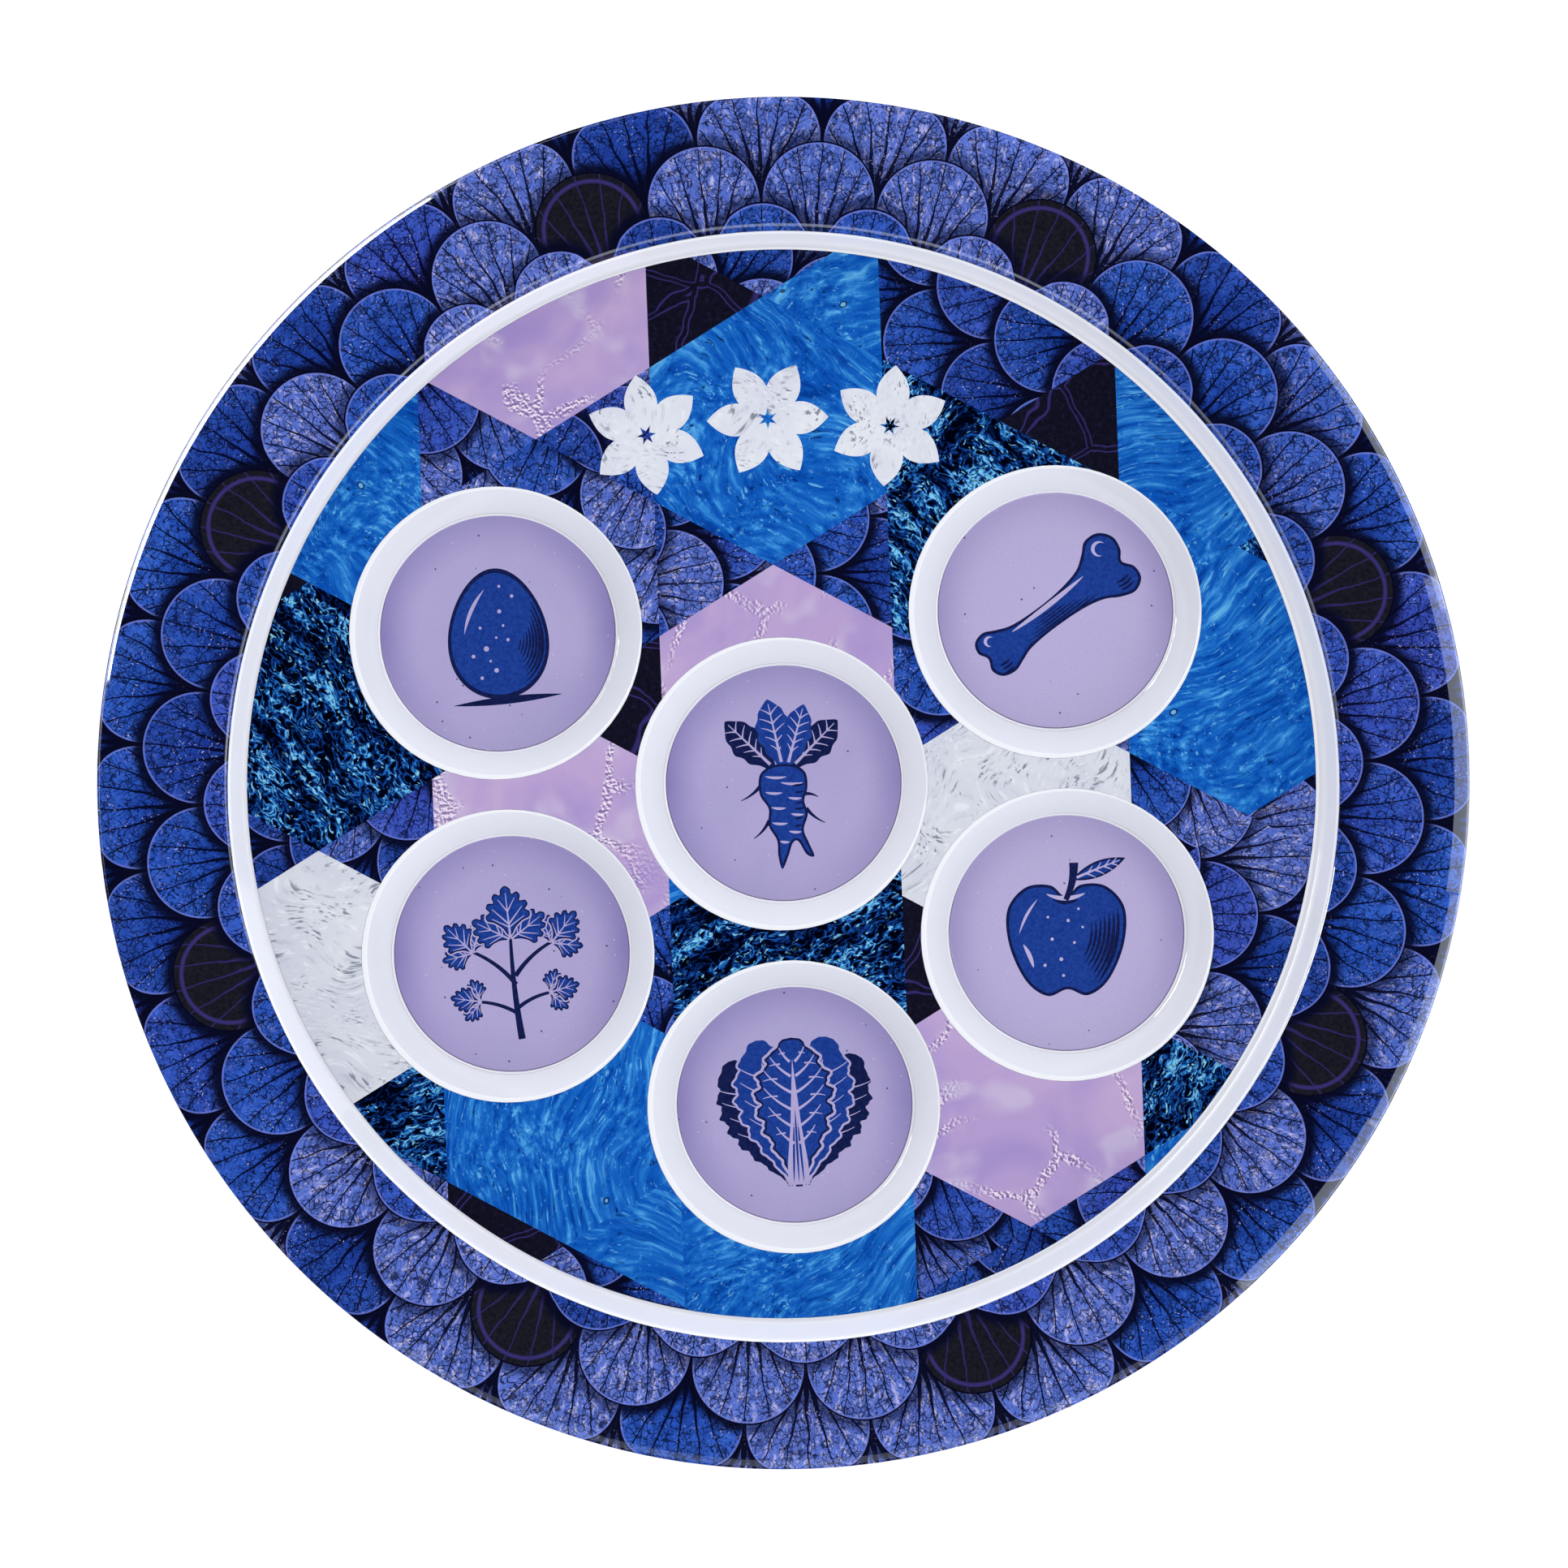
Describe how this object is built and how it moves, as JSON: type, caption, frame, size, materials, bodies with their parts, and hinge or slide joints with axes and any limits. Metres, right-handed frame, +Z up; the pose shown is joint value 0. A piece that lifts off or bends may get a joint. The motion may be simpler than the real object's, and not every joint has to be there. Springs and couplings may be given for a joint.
{
  "type": "seder plate",
  "caption": "Round moulded seder plate with a raised rim, a sunken printed centre and shallow round wells for the symbolic foods.",
  "frame": {"origin": "centre of the foot ring's resting plane, on the plate's axis", "axes": "+Z up, out of the printed face; +Y towards the top of the face, where the open field without a well is; +X to the right"},
  "size_m": [0.305, 0.305, 0.0174],
  "materials": {
    "white_melamine": "gloss",
    "rim_print": "gloss",
    "centre_print": "gloss",
    "well_print": "gloss"
  },
  "bodies": {
    "root": {"plate_body": "white_melamine", "rim_print_foil": "rim_print", "centre_print_foil": "centre_print", "bitter_herbs_well_foil": "well_print", "shank_bone_well_foil": "well_print", "egg_well_foil": "well_print", "parsley_well_foil": "well_print", "lettuce_well_foil": "well_print", "charoset_well_foil": "well_print"}
  },
  "joints": []
}
